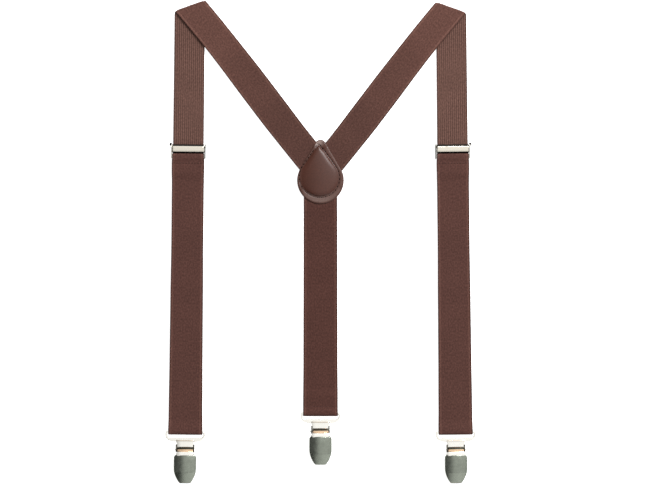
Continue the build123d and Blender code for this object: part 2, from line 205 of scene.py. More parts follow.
# ---------------------------------------------------------------- materials
def webbing_material(name, base, ribbed=False, far_shade=1.0):
    """Woven elastic. Its face is a fine plain weave and its back has ribs along it.

    far_shade is how light it is beyond 0.37 m of its length, against the rest: painted shade.
    """
    made, tree, shader = new_material(name, Sheen_Weight=0.02, Sheen_Roughness=0.5)
    shader.inputs["Specular IOR Level"].default_value = 0.12
    cloth = node(tree, "UVMap", uv_map="cloth").outputs["UV"]
    place = node(tree, "UVMap", uv_map="place").outputs["UV"]
    parts = node(tree, "SeparateXYZ", {"Vector": cloth})
    across = node(tree, "SeparateXYZ", {"Vector": place}).outputs["X"]
    from_middle = math_node(tree, "ABSOLUTE", across)

    def thread(length, pitch):
        return math_node(tree, "SINE", math_node(tree, "MULTIPLY", length, math.pi / pitch))

    warp, weft = thread(parts.outputs["X"], WARP_PITCH), thread(parts.outputs["Y"], WEFT_PITCH)
    weave = math_node(tree, "MULTIPLY_ADD", math_node(tree, "MULTIPLY", warp, weft), 0.5, 0.5)
    stretched = node(tree, "Mapping", {"Vector": cloth, "Scale": (1.0, 0.7, 1.0)}).outputs["Vector"]
    fibre = noise(tree, cloth, 1500.0, 2.0)
    mottle = noise(tree, stretched, 760.0, 3.0, 0.6)
    drift = noise(tree, cloth, 28.0, 2.0)

    colour = mix(tree, weave, rgba(base, 0.84), rgba(base, 1.16))
    speckle = ramp(tree, mottle, [(0.28, grey(0.66)), (0.5, grey(1.0)), (0.72, grey(1.4))])
    colour = tint(tree, colour, speckle)
    wear_and_highlight = ramp(tree, drift, [(0.3, grey(0.93)), (0.7, grey(1.07))])
    colour = tint(tree, colour, wear_and_highlight)
    # Painted shade: darker beyond 0.37 m of the strap's length.
    if far_shade != 1.0:
        far_shading = ramp(tree, parts.outputs["Y"], [(0.27, grey(1.0)), (0.37, grey(far_shade))])
        colour = tint(tree, colour, far_shading)
    height = math_node(tree, "MULTIPLY_ADD", fibre, 0.6, weave)
    if ribbed:
        # Painted shade in the grooves between the ribs and a painted highlight on their tops, then painted
        # shade along the rounded edges.
        wave = math_node(tree, "COSINE", math_node(tree, "MULTIPLY", across, math.pi * RIBS))
        wave = math_node(tree, "MULTIPLY_ADD", wave, 0.5, 0.5)
        ribs = ramp(tree, wave, [(0.0, grey(1.22)), (0.55, grey(1.02)), (1.0, grey(0.62))])
        colour = tint(tree, colour, ribs)
        stops = [(0.0, grey(1.0)), (0.955, grey(1.0)), (0.98, grey(0.62))]
    else:
        # A painted highlight along the woven selvedge line, and painted shade along the rounded edges.
        line = 1.0 - SELVEDGE
        stops = [
            (0.0, grey(1.0)),
            (line - 0.06, grey(1.0)),
            (line, (1.5, 1.6, 1.58)),
            (line + 0.06, grey(0.97)),
            (0.965, grey(0.9)),
            (0.985, grey(0.55)),
        ]
    colour = tint(tree, colour, ramp(tree, from_middle, stops))
    roughness = ramp(tree, mottle, [(0.3, grey(0.92)), (0.7, grey(0.8))])
    finish_surface(tree, shader, colour, roughness, height, 0.00009)
    return made


def leather_material(name, base, edge, highlight_colour):
    """Smooth finished leather with a fine grain; its painted edge and the painted highlight along its flange
    are marked on the mesh.
    """
    made, tree, shader = new_material(name)
    shader.inputs["Specular IOR Level"].default_value = 0.34
    coords = object_place(tree)
    grain = node(tree, "TexVoronoi", {"Vector": coords, "Scale": 1300.0, "Randomness": 1.0})
    pores = noise(tree, coords, 2600.0, 2.0)
    patchy = noise(tree, coords, 90.0, 4.0, 0.6)
    fine = noise(tree, coords, 700.0, 3.0)
    rim = node(tree, "Attribute", attribute_name="edge", attribute_type="GEOMETRY").outputs["Fac"]
    crest = node(tree, "Attribute", attribute_name="wear_and_highlight", attribute_type="GEOMETRY").outputs["Fac"]
    colour = mix(tree, patchy, rgba(base, 0.88), rgba(base, 1.12))
    speckle = ramp(tree, fine, [(0.3, grey(0.88)), (0.7, grey(1.12))])
    colour = tint(tree, colour, speckle)
    # Painted highlight on the flange's crest, foot and tip, made patchy by the fine noise.
    painted_highlight = math_node(tree, "MULTIPLY", crest, ramp(tree, fine, [(0.25, grey(0.6)), (0.6, grey(1.0))]))
    colour = mix(tree, painted_highlight, colour, rgba(highlight_colour))
    colour = mix(tree, rim, colour, rgba(edge))
    height = math_node(tree, "MULTIPLY_ADD", grain.outputs["Distance"], 0.8, pores)
    roughness = ramp(tree, patchy, [(0.3, grey(0.42)), (0.7, grey(0.34))])
    finish_surface(tree, shader, colour, roughness, height, 0.00003, 0.7)
    return made


def metal_material(name, base, roughness, brushed):
    """Plated steel: bright, or satin with faint lines along it."""
    made, tree, shader = new_material(name, Metallic=1.0)
    coords = object_place(tree)
    scale = (1.0, 0.06, 1.0) if brushed else (1.0, 1.0, 1.0)
    lined = node(tree, "Mapping", {"Vector": coords, "Scale": scale}).outputs["Vector"]
    lines = noise(tree, lined, 3500.0 if brushed else 900.0, 3.0, 0.6)
    smudge = noise(tree, coords, 300.0 if brushed else 160.0, 4.0, 0.6)
    spread = 0.3 if brushed else 0.06
    colour = mix(tree, smudge, rgba(base, 1.0 - spread), rgba(base, 1.0 + spread))
    low, high = roughness
    rough = ramp(tree, smudge, [(0.3, grey(low)), (0.7, grey(high))])
    finish_surface(tree, shader, colour, rough, lines, 0.00002 if brushed else 0.000006)
    return made


def plastic_material(name, base, shine=0.4):
    """Dull moulded plastic, or paint."""
    made, tree, shader = new_material(name)
    shader.inputs["Specular IOR Level"].default_value = shine
    coords = object_place(tree)
    grain = noise(tree, coords, 1800.0, 3.0)
    smudge = noise(tree, coords, 200.0, 3.0)
    colour = mix(tree, smudge, rgba(base, 0.85), rgba(base, 1.15))
    rough = ramp(tree, smudge, [(0.3, grey(0.5)), (0.7, grey(0.62))])
    finish_surface(tree, shader, colour, rough, grain, 0.00004)
    return made


def thread_material(name, base):
    """Twisted sewing thread."""
    made, tree, shader = new_material(name, Sheen_Weight=0.03)
    shader.inputs["Specular IOR Level"].default_value = 0.2
    coords = object_place(tree)
    turned = node(tree, "Mapping", {"Vector": coords, "Rotation": (0.0, 0.0, 0.7)}).outputs["Vector"]
    twist = node(tree, "TexWave", {"Vector": turned, "Scale": 1200.0, "Distortion": 1.0}).outputs["Fac"]
    fuzz = noise(tree, coords, 2500.0, 2.0)
    colour = mix(tree, twist, rgba(base, 0.8), rgba(base, 1.2))
    rough = ramp(tree, fuzz, [(0.0, grey(0.7)), (1.0, grey(0.9))])
    finish_surface(tree, shader, colour, rough, twist, 0.00005)
    return made


def felt_material(name, base):
    """Matted fibres."""
    made, tree, shader = new_material(name, Sheen_Weight=0.3)
    coords = object_place(tree)
    fibres = noise(tree, coords, 1500.0, 5.0, 0.7)
    colour = mix(tree, fibres, rgba(base, 0.8), rgba(base, 1.1))
    rough = ramp(tree, fibres, [(0.0, grey(0.85)), (1.0, grey(1.0))])
    finish_surface(tree, shader, colour, rough, fibres, 0.0002)
    return made


WEB_FACE = webbing_material("webbing_face", (0.0747, 0.0322, 0.0256))
# The shoulder straps' face, with painted shade towards the patch.
WEB_FACE_SHOULDER = webbing_material("webbing_face_shoulder", (0.0965, 0.0435, 0.034), far_shade=0.74)
WEB_FACE_BACK_STRAP = webbing_material("webbing_face_back_strap", (0.067, 0.0275, 0.0215))
WEB_BACK = webbing_material("webbing_ribbed_back", (0.1076, 0.0547, 0.0427), ribbed=True)
# Its third colour is the painted highlight on the flange.
LEATHER_BROWN = leather_material(
    "leather_brown", (0.061, 0.0205, 0.0130), (0.070, 0.032, 0.024), (0.23, 0.165, 0.145)
)
NICKEL = metal_material("bright_nickel", (0.95, 0.93, 0.86), (0.14, 0.24), brushed=False)
# Painted shadow: a black for the lever's lips and teeth and the adjuster's stud, where only shade shows.
SHADOW_BLACK = plastic_material("painted_shadow_black", (0.012, 0.010, 0.009), 0.1)
PLATE_NICKEL = metal_material("plate_nickel", (0.81, 0.76, 0.65), (0.16, 0.26), brushed=False)
# Painted reflection: a tan copy of the nickel along the bead where the neck leaves the ring.
BEND_REFLECTION_NICKEL = metal_material("painted_bend_reflection", (0.66, 0.57, 0.46), (0.2, 0.3), brushed=False)
# Painted reflection: a warm copy of the nickel for the lower side of the clip's barrel.
WARM_REFLECTION_NICKEL = metal_material("painted_warm_reflection", (0.9, 0.64, 0.42), (0.18, 0.28), brushed=False)
# Painted shade: a dark copy of the nickel, for the clip's ears, the adjusters' inner cheeks and the top of
# the clip's barrel.
SHADED_NICKEL = metal_material("painted_shade_nickel", (0.05, 0.048, 0.036), (0.3, 0.45), brushed=False)
SATIN = metal_material("satin_nickel", (0.258, 0.280, 0.234), (0.2, 0.3), brushed=True)
GRIP = plastic_material("insert_plastic", (0.02, 0.019, 0.017))
THREAD = thread_material("thread_brown", (0.075, 0.038, 0.03))
SEAM_THREAD = thread_material("thread_webbing", (0.068, 0.029, 0.023))
# Painted shadow: a dark for the needle holes' shade.
HOLE_SHADOW = plastic_material("painted_hole_shadow", (0.006, 0.0035, 0.003), 0.03)
FELT = felt_material("padding_felt", (0.5, 0.46, 0.4))


# ---------------------------------------------------------------- meshes
def build_mesh(name, points, faces, materials, side=1):
    """A mesh from its points and faces. side is -1 for the mirror image on the left."""
    points = np.asarray(points, float) * (side, 1, 1)
    if side < 0:
        faces = [face[::-1] for face in faces]
    mesh = bpy.data.meshes.new(name)
    mesh.from_pydata(points.tolist(), [], faces)
    mesh.polygons.foreach_set("use_smooth", [True] * len(mesh.polygons))
    for m in materials:
        mesh.materials.append(m)
    made = bpy.data.objects.new(name, mesh)
    bpy.context.scene.collection.objects.link(made)
    return made


def ring_faces(rows, columns):
    """Quads between the rows of a closed ring, each row running once round it."""
    faces = []
    for i in range(rows - 1):
        for j in range(columns):
            k = (j + 1) % columns
            faces.append((i * columns + j, i * columns + k, (i + 1) * columns + k, (i + 1) * columns + j))
    return faces


def tube_faces(rows, columns):
    """The sides of a closed form between its rings of points, and then its two ends."""
    last = (rows - 1) * columns
    ends = [tuple(range(columns))[::-1], tuple(range(last, last + columns))]
    return ring_faces(rows, columns) + ends


def eased(at, knots):
    """Heights along a strip: level at each knot, with an S-shaped slope between knots."""
    places, heights = np.array(knots).T
    low = np.clip(np.searchsorted(places, at) - 1, 0, len(places) - 2)
    t = np.clip((at - places[low]) / (places[low + 1] - places[low]), 0, 1)
    return heights[low] + (heights[low + 1] - heights[low]) * t * t * (3 - 2 * t)


def smooth(value, low, high):
    t = np.clip((value - low) / (high - low), 0, 1)
    return t * t * (3 - 2 * t)


# ---------------------------------------------------------------- webbing
def webbing_section():
    """Places across (-1 to 1 of half the width) and heights round the webbing, its face and then its back."""
    quarter = np.radians((18, 36, 54, 72))
    rim = 0.04  # the rounded edge, as a share of half the width

    def half(inner, relief):
        end = 1 - rim + rim * np.sin(quarter)
        places = np.concatenate([-end[::-1], inner, end])
        full = np.concatenate([np.cos(quarter)[::-1], np.ones(len(inner)), np.cos(quarter)])
        return places, WEB / 2 * full - relief(places) * full

    def selvedge(places):
        return 0.00012 * np.exp(-(((np.abs(places) - 1 + SELVEDGE) / 0.022) ** 2))

    def ribs(places):
        return RIB_DEPTH * (0.5 + 0.5 * np.cos(math.pi * RIBS * places))

    face_x, face_z = half(np.linspace(-(1 - rim), 1 - rim, 49), selvedge)
    back_x, back_z = half(np.linspace(-(1 - rim), 1 - rim, 5 * RIBS + 1), ribs)
    across = np.concatenate([[-1.0], face_x, [1.0], back_x[::-1]])
    height = np.concatenate([[0.0], face_z, [0.0], -back_z[::-1]])
    return across, height, len(face_x) + 1


SECTION_ACROSS, SECTION_HEIGHT, FACE_QUADS = webbing_section()


def webbing(name, along, half_width, surface, side, face=WEB_FACE, cuts=()):
    """One length of webbing, from its half width at each length along it.

    surface(along, across) gives the middle of the cloth and which way its face looks.
    """
    across = half_width[:, None] * SECTION_ACROSS
    middle, facing = surface(along[:, None] + 0 * across, across)
    points = (middle + facing * SECTION_HEIGHT[None, :, None]).reshape(-1, 3)
    rows, columns = across.shape
    made = build_mesh(name, points, tube_faces(rows, columns), [face, WEB_BACK])
    mesh = made.data
    cloth, place = mesh.uv_layers.new(name="cloth"), mesh.uv_layers.new(name="place")
    loops = np.zeros(len(mesh.loops), int)
    mesh.loops.foreach_get("vertex_index", loops)
    u, v = across.ravel()[loops], np.repeat(along, columns)[loops]
    share = np.tile(SECTION_ACROSS, rows)[loops]
    cloth.data.foreach_set("uv", np.stack([u, v], 1).ravel())
    place.data.foreach_set("uv", np.stack([share, v], 1).ravel())
    kinds = [int(j % columns >= FACE_QUADS) for j in range((rows - 1) * columns)] + [0, 0]
    mesh.polygons.foreach_set("material_index", kinds)
    for plane_point, outwards in cuts:
        trim(made, plane_point, outwards)
    if side < 0:
        mirror_mesh(made)
    turn_outwards(made)
    return made


def trim(made, plane_point, outwards):
    """Cuts a mesh off square at a plane and closes the cut."""
    work = bmesh.new()
    work.from_mesh(made.data)
    everything = [*work.verts, *work.edges, *work.faces]
    bmesh.ops.bisect_plane(work, geom=everything, plane_co=plane_point, plane_no=outwards, clear_outer=True)
    bmesh.ops.holes_fill(work, edges=[e for e in work.edges if e.is_boundary])
    work.to_mesh(made.data)
    work.free()


def mirror_mesh(made):
    work = bmesh.new()
    work.from_mesh(made.data)
    for vertex in work.verts:
        vertex.co.x = -vertex.co.x
    bmesh.ops.reverse_faces(work, faces=work.faces)
    work.to_mesh(made.data)
    work.free()


def turn_outwards(made):
    work = bmesh.new()
    work.from_mesh(made.data)
    bmesh.ops.recalc_face_normals(work, faces=work.faces)
    work.to_mesh(made.data)
    work.free()


def strap_point(across, along, z):
    """Row coordinates of points given on the right-hand front strap."""
    x = STRAP_X + across * math.cos(STRAP_LEAN) - along * math.sin(STRAP_LEAN)
    y = along * math.cos(STRAP_LEAN) + across * math.sin(STRAP_LEAN)
    return np.stack([x, y, z + 0 * x], axis=-1)


def back_point(across, along, z):
    """The same for the back strap, whose centre line is x = 0."""
    return np.stack([across + 0 * along, along + 0 * across, z + 0 * across], axis=-1)


CREASE_OUT = np.array([math.sin(CREASE_SLOPE), math.cos(CREASE_SLOPE), 0.0])
DIAGONAL = np.array([-math.cos(DIAGONAL_SLOPE), -math.sin(DIAGONAL_SLOPE), 0.0])
DIAGONAL_LEFT = np.array([-math.sin(DIAGONAL_SLOPE), math.cos(DIAGONAL_SLOPE), 0.0])
DIAGONAL_DROP = [  # how much lower it lies than it leaves the crease, by its length
    (-0.03, 0.0),
    (0.042, 0.0),
    (0.072, -0.0028),
    (0.145, -0.0028),
    (0.165, -0.0016),
    (0.25, -0.0016),
]


def crease_centre(side):
    """Middle of the fold, as if on the right."""
    return np.array([STRAP_X - FOLD_Y[side] * math.tan(STRAP_LEAN), FOLD_Y[side], 0.0])


def shoulder_surface(side):
    """The strip runs up the strap, turns over at the crease and comes down across to the patch."""
    centre = crease_centre(side)

    def surface(along, across):
        flat = strap_point(across, along, 0.0)
        past = (flat - centre) @ CREASE_OUT + FOLD_OUTER
        turn = np.clip(past / FOLD_R, 0, math.pi)
        beyond = np.maximum(past - math.pi * FOLD_R, 0)
        back = np.where(past > 0, FOLD_R * np.sin(turn) - beyond - past, 0)
        middle = flat + back[..., None] * CREASE_OUT
        down = (middle - centre) @ DIAGONAL
        folded = smooth(beyond, 0, 0.004)
        middle = middle - (folded * eased(down, DIAGONAL_SWING))[..., None] * DIAGONAL_LEFT
        corner = FOLD_CORNER * np.abs(across / (SHOULDER_WIDTH / 2)) ** 9 * np.sin(turn)
        middle = middle - corner[..., None] * CREASE_OUT
        middle[..., 2] = FOLD_MID_Z - FOLD_R * np.cos(turn) + folded * eased(down, DIAGONAL_DROP)
        facing = np.sin(turn)[..., None] * CREASE_OUT
        facing[..., 2] = -np.cos(turn)
        return middle, facing

    return surface


def path_surface(path, point):
    """Webbing that follows a path of (y, z) points, turning round bars that lie across it."""
    steps = np.hypot(*np.diff(path, axis=0).T)
    lengths = np.concatenate([[0], np.cumsum(steps)])
    tangent = np.gradient(path, lengths, axis=0)
    tangent /= np.linalg.norm(tangent, axis=1)[:, None]

    def surface(along, across):
        y, z = np.interp(along, lengths, path[:, 0]), np.interp(along, lengths, path[:, 1])
        ty, tz = np.interp(along, lengths, tangent[:, 0]), np.interp(along, lengths, tangent[:, 1])
        facing = point(0 * across, ty * 0 - tz, ty) - point(0 * across, 0 * tz, 0)
        facing /= np.linalg.norm(facing, axis=-1)[..., None]
        return point(across, y, z), facing

    return lengths, surface


def level(start, end, step, knots):
    """(y, z) points from one y to another, at the eased heights."""
    count = max(2, int(abs(end - start) / step) + 1)
    y = np.linspace(start, end, count)
    return np.stack([y, eased(y, knots)], 1)


def turn_round(y, z, radius, start, end, count=22):
    """(y, z) points round a bar, by angle in degrees from +y."""
    angle = np.radians(np.linspace(start, end, count))
    return np.stack([y + radius * np.cos(angle), z + radius * np.sin(angle)], 1)


def joined(*parts):
    """The parts of a path, one after another, without doubled points."""
    path = np.concatenate(parts)
    keep = np.concatenate([[True], np.hypot(*np.diff(path, axis=0).T) > 1e-6])
    return path[keep]


def shoulder_web(name, side):
    crease = FOLD_Y[side] / math.cos(STRAP_LEAN)
    along = np.concatenate(
        [
            np.arange(UNDER_TOP_Y, crease - 0.0075, 0.0018),
            np.arange(crease - 0.0072, crease + 0.0075, 0.00028),
            np.arange(crease + 0.0090, crease + 0.216, 0.0018),
        ]
    )
    cuts = [((WEB_JOIN, 0, 0), (-1, 0, 0)), ((0, WEB_END_Y, 0), (0, -1, 0))]
    half = eased(along, SHOULDER_WIDTHS) / 2
    return webbing(name, along, half, shoulder_surface(side), side, WEB_FACE_SHOULDER, cuts)


def under_web(name, side):
    """The hidden layer, from the adjuster down to the clip, face down."""
    path = level(UNDER_TOP_Y - GAP, UNDER_END_Y + GAP, 0.002, [(-0.2, RUN_MID_Z), (0.2, RUN_MID_Z)])
    lengths, surface = path_surface(path, strap_point)
    top = eased(np.array([UNDER_TOP_Y]), SHOULDER_WIDTHS)[0] / 2
    bottom = eased(np.array([UNDER_END_Y]), RUN_WIDTHS)[0] / 2 - 0.0004
    half = np.interp(lengths, (0, lengths[-1]), (top, bottom))
    return webbing(name, lengths, half, surface, side)


def front_web(name, side):
    """From beside the clip, round its bar, up the front, round the adjuster's bar, to the sewn end."""
    bar = FRONT_CLIP_Y
    low = RING_BAR_Z - LOOP_R
    under = [(bar, low), (bar + 0.004, low), (bar + 0.0115, RUN_MID_Z), (bar + 0.02, RUN_MID_Z)]
    up_front = [
        (bar, RING_BAR_Z + LOOP_R),
        (bar + 0.0015, RING_BAR_Z + LOOP_R),
        (bar + 0.012, 0.0028),
        (0.058, 0.0028),
        (0.0665, 0.0041),
        (0.0757, 0.0041),
        (0.0800, SEWN_MID_Z + SEWN_R),
        (SEWN_MID_Y, SEWN_MID_Z + SEWN_R),
    ]
    tail = SEWN_MID_Z - SEWN_R
    path = joined(
        level(UNDER_END_Y, bar, 0.0012, under),
        turn_round(bar, RING_BAR_Z, LOOP_R, 270, 90),
        level(bar, bar + 0.016, 0.0008, up_front),
        level(bar + 0.016, 0.056, 0.0018, up_front),
        level(0.056, SEWN_MID_Y, 0.0008, up_front),
        turn_round(SEWN_MID_Y, SEWN_MID_Z, SEWN_R, 90, -90),
        level(SEWN_MID_Y, SEWN_TAIL_Y, 0.0012, [(0.0, tail), (0.1, tail)]),
    )
    lengths, surface = path_surface(path, strap_point)
    return webbing(name, lengths, eased(path[:, 0], RUN_WIDTHS) / 2, surface, side)


def back_web(name):
    """The back strap, from inside the patch to the loop sewn round its clip's bar."""
    bar, low = BACK_CLIP_Y, RING_BAR_Z - LOOP_R
    over = [
        (bar, RING_BAR_Z + LOOP_R),
        (bar + 0.001, RING_BAR_Z + LOOP_R),
        (bar + 0.0075, 0.0021),
        (bar + 0.0155, 0.0021),
        (bar + 0.025, low),
        (0.022, low),
        (0.038, 0.0019),
        (0.06, 0.0019),
    ]
    path = joined(
        level(bar + 0.0135, bar, 0.0012, [(-0.2, low), (0.0, low)]),
        turn_round(bar, RING_BAR_Z, LOOP_R, 270, 90),
        level(bar, bar + 0.027, 0.0007, over),
        level(bar + 0.027, WEB_END_Y - 0.001, 0.0018, over),
    )
    lengths, surface = path_surface(path, back_point)
    return webbing(name, lengths, eased(path[:, 0], BACK_WIDTHS) / 2, surface, 1, WEB_FACE_BACK_STRAP)


# ---------------------------------------------------------------- patch
def teardrop_distance(x, y, round_r, round_y, point_y, point_r):
    """Distance outside the outline of a round end drawn out to a point, negative inside."""
    rise = point_y - round_y
    lean = (round_r - point_r) / rise
    flat = math.sqrt(1 - lean * lean)
    px, py = np.abs(x), y - round_y
    place = flat * py - lean * px
    on_side = flat * px + lean * py - round_r
    at_point = np.hypot(px, py - rise) - point_r
    at_round = np.hypot(px, py) - round_r
    return np.where(place < 0, at_round, np.where(place > flat * rise, at_point, on_side))


def outer_distance(x, y):
    return teardrop_distance(x, y, PATCH_R, PATCH_Y, APEX_Y, APEX_R)


def dome_distance(x, y):
    across = x - DOME_SHIFT - DOME_LEAN * (y - DOME_MIDDLE_Y)
    return teardrop_distance(across, y, DOME_R, DOME_MIDDLE_Y, DOME_APEX_Y, DOME_APEX_R)


def outline_radius(angles, distance):
    """How far each ray from the patch's middle goes before it crosses the outline."""
    low, high = np.zeros(len(angles)), np.full(len(angles), 0.06)
    for _ in range(40):
        middle = (low + high) / 2
        inside = distance(middle * np.cos(angles), DOME_Y + middle * np.sin(angles)) < 0
        low, high = np.where(inside, middle, low), np.where(inside, high, middle)
    return low


def web_cover(x, y):
    """1 where webbing lies between the two leathers, 0 where they lie on each other."""
    beside = []
    for side in (1, -1):
        centre = crease_centre(side)
        right, up = x * side - centre[0], y - centre[1]
        swing = eased(right * DIAGONAL[0] + up * DIAGONAL[1], DIAGONAL_SWING)
        off = np.abs(right * DIAGONAL_LEFT[0] + up * DIAGONAL_LEFT[1] + swing) - SHOULDER_WIDTH / 2
        beside.append(np.maximum(off, WEB_END_Y - y))
    beside.append(np.maximum(np.abs(x) - BACK_WIDTH / 2, y - WEB_END_Y))
    return 1 - smooth(np.minimum.reduce(beside), -0.0004, 0.0062)


def patch_base(x, y):
    """Top of the front leather's flange, before its groove and its rounded rim."""
    return 0.00245 + 0.00135 * web_cover(x, y)


def patch_crown(x, y):
    """Height of the padded middle, away from its shoulder."""
    return DOME_TOP - x**2 / (2 * CROWN_ACROSS) - (y - DOME_Y) ** 2 / (2 * CROWN_ALONG)


def patch_top(x, y):
    """Top of the front leather."""
    dome, outer = -dome_distance(x, y), -outer_distance(x, y)
    base = patch_base(x, y)
    crown = patch_crown(x, y)
    shoulder = np.clip(dome / DOME_SHOULDER, 0, 1)
    rise = (1 - (1 - shoulder) ** 2.4) ** 0.55
    groove = 0.0003 * np.exp(-(((dome + STITCH_OUT) / 0.0006) ** 2)) * (dome < 0)
    groove = groove * (1 - smooth(y, 0.087, 0.0895))
    rim = np.clip(outer / 0.0016, 0, 1)
    rounded = 0.0010 * (1 - np.sqrt(1 - (1 - rim) ** 2))
    return base + (crown - base) * rise - groove - rounded


def patch_under(x, y):
    """Underside of the front leather, hollow over the padding."""
    base = patch_base(x, y) - LEATHER
    room = smooth(-dome_distance(x, y), 0.0010, 0.0030)
    return base + (patch_crown(x, y) - 0.0013 - base) * room


DOME_RINGS = np.array(
    (0.14, 0.28, 0.42, 0.54, 0.65, 0.74, 0.81, 0.86, 0.895, 0.92, 0.94, 0.957, 0.97, 0.981, 0.99, 0.996, 1.0)
)
FLANGE_RINGS = np.array(
    (0.06, 0.13, 0.2, 0.26, 0.32, 0.38, 0.45, 0.55, 0.66, 0.76, 0.84, 0.89, 0.93, 0.96, 0.98, 0.995, 1.0)
)
PATCH_TURN = np.linspace(0, 2 * math.pi, 288, endpoint=False)
PATCH_ANGLES = math.pi / 2 + PATCH_TURN - 0.65 * np.sin(PATCH_TURN)  # closer together at the tip


def ring_points(radii):
    """x and y of rings of points round the patch's middle, from the middle outwards."""
    return radii * np.cos(PATCH_ANGLES), DOME_Y + radii * np.sin(PATCH_ANGLES)


def leather_rings():
    edge, dome = outline_radius(PATCH_ANGLES, outer_distance), outline_radius(PATCH_ANGLES, dome_distance)
    flange = dome + (edge - dome) * FLANGE_RINGS[:, None]
    return ring_points(np.concatenate([dome * DOME_RINGS[:, None], flange]))


def pad_rings():
    edge = outline_radius(PATCH_ANGLES, lambda x, y: dome_distance(x, y) + PAD_IN)
    return ring_points(edge * DOME_RINGS[:, None])


def layer(name, rings, top, under, material):
    """A closed piece between two surfaces over the same rings of points."""
    x, y = rings
    rows, columns = x.shape
    above = np.stack([x, y, top(x, y)], -1).reshape(-1, 3)
    below = np.stack([x, y, under(x, y)], -1)[::-1].reshape(-1, 3)
    centre_x, centre_y = np.array(0.0), np.array(DOME_Y)
    middle = [(0, DOME_Y, float(surface(centre_x, centre_y))) for surface in (top, under)]
    points = np.concatenate([above, below, middle])
    faces = ring_faces(2 * rows, columns)
    last = (2 * rows - 1) * columns
    for j in range(columns):
        k = (j + 1) % columns
        faces.append((len(points) - 2, k, j))
        faces.append((len(points) - 1, last + j, last + k))
    made = build_mesh(name, points, faces, [material])
    turn_outwards(made)
    return made


def flange_highlight(x, y):
    """Painted highlight on the flange: at its foot, a little all round, and most on the left of its tip."""
    inside, beyond = -outer_distance(x, y), dome_distance(x, y)
    share = np.clip(inside / np.maximum(inside + beyond, 1e-6), 0, 1)
    crest = np.exp(-(((share - 0.42) / 0.2) ** 2))
    foot = smooth(share, 0.08, 0.3) * np.exp(-((np.degrees(np.arctan2(x, PATCH_Y - y)) / 55) ** 2))
    tip = smooth(y, 0.0905, 0.0935) * smooth(-x, -0.004, 0.001) * smooth(share, 0.0, 0.2)
    return (beyond > 0) * np.clip(0.1 * crest + 0.34 * foot + 0.95 * tip, 0, 1)


def leather_piece(name, top, under):
    made = layer(name, leather_rings(), top, under, LEATHER_BROWN)
    spots = np.array([v.co for v in made.data.vertices])
    x, y = spots[:, 0], spots[:, 1]
    edge = made.data.attributes.new("edge", "FLOAT", "POINT")
    edge.data.foreach_set("value", (1 - smooth(-outer_distance(x, y), 0.0002, 0.0010)) * 0.8)
    # How much painted highlight lies on each point of the flange.
    wear_and_highlight = made.data.attributes.new("wear_and_highlight", "FLOAT", "POINT")
    wear_and_highlight.data.foreach_set("value", flange_highlight(x, y))
    return made


def pad_under(x, y):
    return 0.00262 + 0 * x


def pad_top(x, y):
    """Just under the front leather, and rounded down at the felt's own edge."""
    inside = np.clip((-dome_distance(x, y) - PAD_IN) / 0.0012, 0, 1)
    height = np.maximum(patch_under(x, y) - 0.0001 - pad_under(x, y), 0.0001)
    return pad_under(x, y) + height * np.sqrt(1 - (1 - inside) ** 2) * 0.97 + 0.0001


def back_leather_under(x, y):
    rim = np.clip(-outer_distance(x, y) / 0.0004, 0, 1)
    return 0.0004 * (1 - np.sqrt(1 - (1 - rim) ** 2))


def back_leather_top(x, y):
    return LEATHER - back_leather_under(x, y)


# ---------------------------------------------------------------- stitching
def stitch_mesh(length, pitch, hole):
    """One stitch along x: an arched thread that dips in at both ends, and the needle hole after it.

    The hole is a low dark dome, painted shadow standing in for the shade in the needle hole, so that it shows
    whichever way the leather slopes.
    """
    stations, around = 9, 8
    t = np.linspace(-1, 1, stations)
    height = THREAD_R * (0.75 - 1.9 * np.abs(t) ** 4)
    radius = THREAD_R * (1 - 0.25 * np.abs(t) ** 6)
    angle = np.linspace(0, 2 * math.pi, around, endpoint=False)
    turn_y, turn_z = np.cos(angle), np.sin(angle)
    x = np.repeat(t * length / 2, around)
    y = np.outer(radius, turn_y).ravel()
    z = (height[:, None] + np.outer(radius, turn_z)).ravel()
    points = np.stack([x, y, z], 1)
    faces = tube_faces(stations, around)
    kinds = [0] * len(faces)
    if hole:
        first = len(points)
        for share, z in ((0.45, 0.00018), (0.82, 0.00012), (1.0, -0.0002)):
            r = hole * share
            rim = np.stack([pitch / 2 + r * turn_y, 0.85 * r * turn_z, np.full(around, z)], 1)
            points = np.concatenate([points, rim])
        hole_faces = tube_faces(3, around)
        faces += [tuple(first + i for i in face) for face in hole_faces]
        kinds += [1] * len(hole_faces)
    return points, faces, kinds


def stitching(name, places, length, pitch, hole, thread, side=1):
    """Stitches at the (x, y, z, heading) places, as one piece."""
    shape, shape_faces, shape_kinds = stitch_mesh(length, pitch, hole)
    points, faces, kinds = [], [], []
    for x, y, z, heading in places:
        first = len(points) * len(shape)
        c, s = math.cos(heading), math.sin(heading)
        turned_shape = shape @ np.array([[c, s, 0], [-s, c, 0], [0, 0, 1]])
        points.append(turned_shape + (x, y, z))
        faces += [tuple(first + i for i in face) for face in shape_faces]
        kinds += shape_kinds
    made = build_mesh(name, np.concatenate(points), faces, [thread, HOLE_SHADOW], side)
    made.data.polygons.foreach_set("material_index", kinds)
    turn_outwards(made)
    return made


